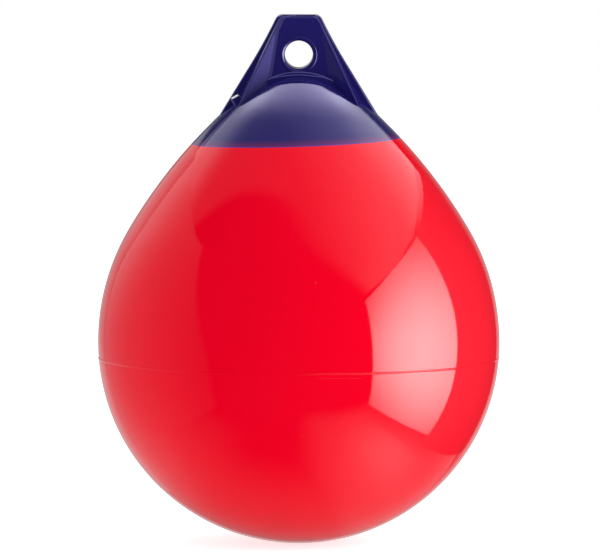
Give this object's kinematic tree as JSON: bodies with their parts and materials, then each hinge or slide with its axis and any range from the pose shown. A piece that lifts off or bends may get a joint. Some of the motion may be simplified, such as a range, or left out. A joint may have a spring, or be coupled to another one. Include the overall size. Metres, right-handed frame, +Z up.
{
  "type": "inflatable mooring buoy with a moulded rope eye",
  "caption": "Teardrop inflatable vinyl mooring buoy: a hollow red ball drawn up into a thick blue moulded rope hold with a round through eye and a small white valve screw.",
  "frame": {"origin": "on the buoy's axis at the level of the water, where it floats eye up and unloaded, 77 mm above its lowest point", "axes": "+Z up along the buoy's axis to the rope eye, Y along the rope eye's bore with the pictured face towards -Y, +X to the right of that face"},
  "size_m": [0.5218, 0.5218, 0.686],
  "materials": {
    "red_vinyl": "glossy inflated vinyl",
    "blue_vinyl": "smooth glossy moulded vinyl",
    "white_nylon": "satin nylon"
  },
  "bodies": {
    "root": {"body_shell": "red_vinyl", "rope_hold": "blue_vinyl", "valve_screw": "white_nylon"}
  },
  "joints": []
}
